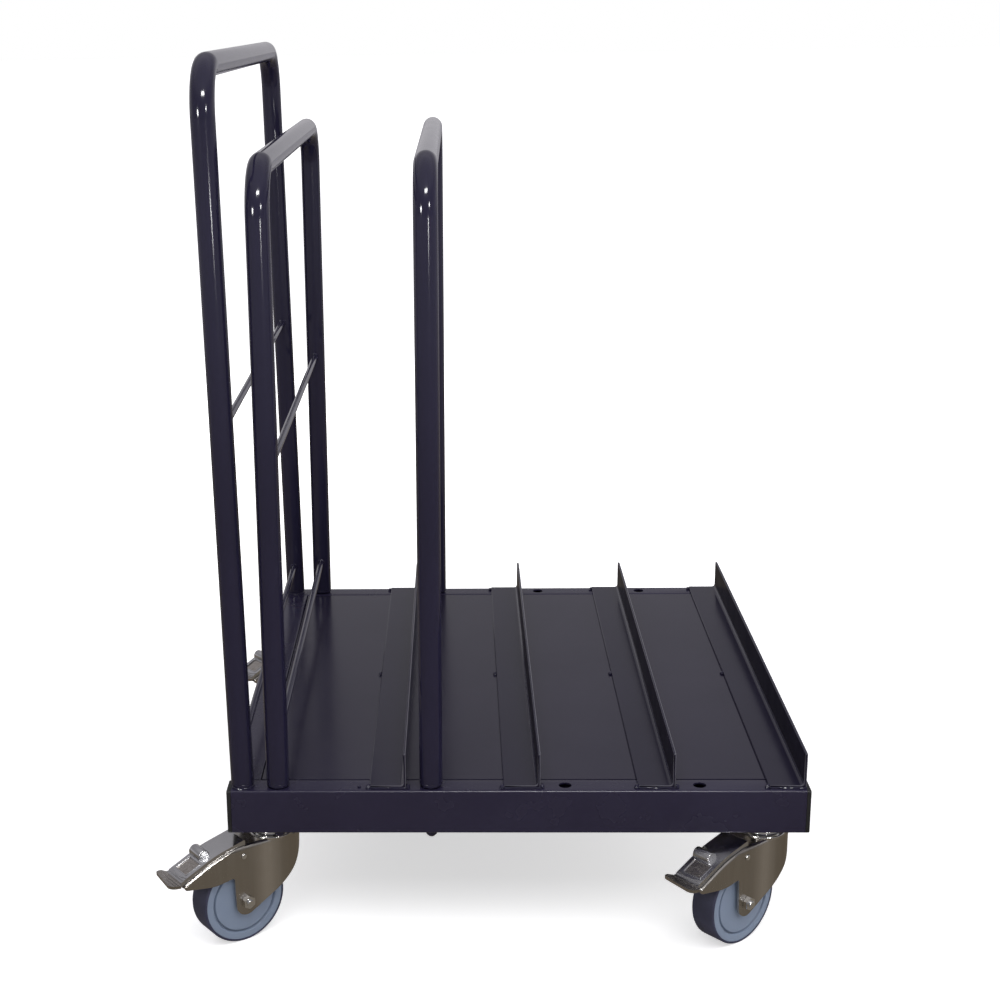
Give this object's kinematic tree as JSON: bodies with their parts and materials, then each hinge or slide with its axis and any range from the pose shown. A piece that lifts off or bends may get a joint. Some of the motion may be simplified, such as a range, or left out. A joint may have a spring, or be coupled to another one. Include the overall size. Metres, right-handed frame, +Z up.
{
  "type": "carton rack trolley",
  "caption": "Low steel trolley for flat cartons: a flush deck with upright divider angles, a welded push hoop, plug-in rack hoops and braked swivel casters.",
  "frame": {"origin": "on the floor, at the middle of the part's bounding box with the casters at their pictured headings", "axes": "+X along the front rail away from the push hoop, +Y from the front rail to the rear rail, +Z up"},
  "size_m": [0.7058, 0.7665, 0.9501],
  "materials": {
    "frame_paint": "satin dark anthracite powder coat",
    "deck_paint": "satin dark anthracite powder coat on sheet",
    "angle_paint": "satin dark powder coat on hot-rolled angle",
    "hoop_paint": "semi-gloss dark powder coat on tube",
    "cap_plastic": "moulded black plastic",
    "fork_zinc": "bright zinc plate on pressed sheet",
    "pedal_zinc": "bright zinc plate on pressed sheet",
    "bolt_steel": "zinc plated turned steel",
    "tyre_rubber": "dark grey thermoplastic rubber tread",
    "wheel_plastic": "moulded blue-grey plastic"
  },
  "bodies": {
    "frame": {"front_rail": "frame_paint", "rear_rail": "frame_paint", "left_rail": "frame_paint", "right_rail": "frame_paint", "front_left_corner_plate": "frame_paint", "front_right_corner_plate": "frame_paint", "rear_left_corner_plate": "frame_paint", "rear_right_corner_plate": "frame_paint", "front_left_end_cap": "cap_plastic", "front_right_end_cap": "cap_plastic", "rear_left_end_cap": "cap_plastic", "rear_right_end_cap": "cap_plastic", "deck_panel": "deck_paint", "divider_angle_1": "angle_paint", "divider_angle_2": "angle_paint", "divider_angle_3": "angle_paint", "divider_angle_4": "angle_paint", "push_hoop_tube": "hoop_paint", "push_hoop_upper_rod": "hoop_paint", "push_hoop_lower_rod": "hoop_paint", "push_hoop_front_foot": "hoop_paint", "push_hoop_rear_foot": "hoop_paint", "front_left_swivel_head": "bolt_steel", "front_right_swivel_head": "bolt_steel", "rear_left_swivel_head": "bolt_steel", "rear_right_swivel_head": "bolt_steel"},
    "first_hoop": {"first_hoop_tube": "hoop_paint", "first_hoop_upper_rod": "hoop_paint", "first_hoop_lower_rod": "hoop_paint", "first_hoop_front_foot": "hoop_paint", "first_hoop_rear_foot": "hoop_paint"},
    "second_hoop": {"second_hoop_tube": "hoop_paint", "second_hoop_upper_rod": "hoop_paint", "second_hoop_lower_rod": "hoop_paint", "second_hoop_front_foot": "hoop_paint", "second_hoop_rear_foot": "hoop_paint"},
    "front_left_caster": {"front_left_fork": "fork_zinc", "front_left_axle_bolt": "bolt_steel", "front_left_pedal_pin": "bolt_steel"},
    "front_left_wheel": {"front_left_wheel_hub": "wheel_plastic", "front_left_tyre": "tyre_rubber"},
    "front_left_pedal": {"front_left_brake_pedal": "pedal_zinc"},
    "front_right_caster": {"front_right_fork": "fork_zinc", "front_right_axle_bolt": "bolt_steel", "front_right_pedal_pin": "bolt_steel"},
    "front_right_wheel": {"front_right_wheel_hub": "wheel_plastic", "front_right_tyre": "tyre_rubber"},
    "front_right_pedal": {"front_right_brake_pedal": "pedal_zinc"},
    "rear_left_caster": {"rear_left_fork": "fork_zinc", "rear_left_axle_bolt": "bolt_steel", "rear_left_pedal_pin": "bolt_steel"},
    "rear_left_wheel": {"rear_left_wheel_hub": "wheel_plastic", "rear_left_tyre": "tyre_rubber"},
    "rear_left_pedal": {"rear_left_brake_pedal": "pedal_zinc"},
    "rear_right_caster": {"rear_right_fork": "fork_zinc", "rear_right_axle_bolt": "bolt_steel", "rear_right_pedal_pin": "bolt_steel"},
    "rear_right_wheel": {"rear_right_wheel_hub": "wheel_plastic", "rear_right_tyre": "tyre_rubber"},
    "rear_right_pedal": {"rear_right_brake_pedal": "pedal_zinc"}
  },
  "joints": [
    {"name": "first_hoop_lift", "type": "slide", "parent": "frame", "child": "first_hoop", "axis": [0, 0, 1], "range_m": [0, 0.065]},
    {"name": "second_hoop_lift", "type": "slide", "parent": "frame", "child": "second_hoop", "axis": [0, 0, 1], "range_m": [0, 0.065]},
    {"name": "front_left_swivel", "type": "hinge", "parent": "frame", "child": "front_left_caster", "pos_m": [-0.2325, -0.2775, 0.13], "axis": [0, 0, 1], "continuous": true},
    {"name": "front_left_roll", "type": "hinge", "parent": "front_left_caster", "child": "front_left_wheel", "pos_m": [-0.26924, -0.30518, 0.05], "axis": [0.6018, -0.7986, 0], "continuous": true},
    {"name": "front_left_brake", "type": "hinge", "parent": "front_left_caster", "child": "front_left_pedal", "pos_m": [-0.27083, -0.30639, 0.1045], "axis": [0.6018, -0.7986, 0], "range_deg": [0, 7]},
    {"name": "front_right_swivel", "type": "hinge", "parent": "frame", "child": "front_right_caster", "pos_m": [0.3105, -0.2775, 0.13], "axis": [0, 0, 1], "continuous": true},
    {"name": "front_right_roll", "type": "hinge", "parent": "front_right_caster", "child": "front_right_wheel", "pos_m": [0.27578, -0.30768, 0.05], "axis": [0.6561, -0.7547, 0], "continuous": true},
    {"name": "front_right_brake", "type": "hinge", "parent": "front_right_caster", "child": "front_right_pedal", "pos_m": [0.27427, -0.30899, 0.1045], "axis": [0.6561, -0.7547, 0], "range_deg": [0, 7]},
    {"name": "rear_left_swivel", "type": "hinge", "parent": "frame", "child": "rear_left_caster", "pos_m": [-0.2325, 0.3415, 0.13], "axis": [0, 0, 1], "continuous": true},
    {"name": "rear_left_roll", "type": "hinge", "parent": "rear_left_caster", "child": "rear_left_wheel", "pos_m": [-0.26669, 0.31072, 0.05], "axis": [0.6691, -0.7431, 0], "continuous": true},
    {"name": "rear_left_brake", "type": "hinge", "parent": "rear_left_caster", "child": "rear_left_pedal", "pos_m": [-0.26817, 0.30938, 0.1045], "axis": [0.6691, -0.7431, 0], "range_deg": [0, 7]},
    {"name": "rear_right_swivel", "type": "hinge", "parent": "frame", "child": "rear_right_caster", "pos_m": [0.3105, 0.3415, 0.13], "axis": [0, 0, 1], "continuous": true},
    {"name": "rear_right_roll", "type": "hinge", "parent": "rear_right_caster", "child": "rear_right_wheel", "pos_m": [0.27425, 0.31318, 0.05], "axis": [0.6157, -0.788, 0], "continuous": true},
    {"name": "rear_right_brake", "type": "hinge", "parent": "rear_right_caster", "child": "rear_right_pedal", "pos_m": [0.27268, 0.31195, 0.1045], "axis": [0.6157, -0.788, 0], "range_deg": [0, 7]}
  ]
}
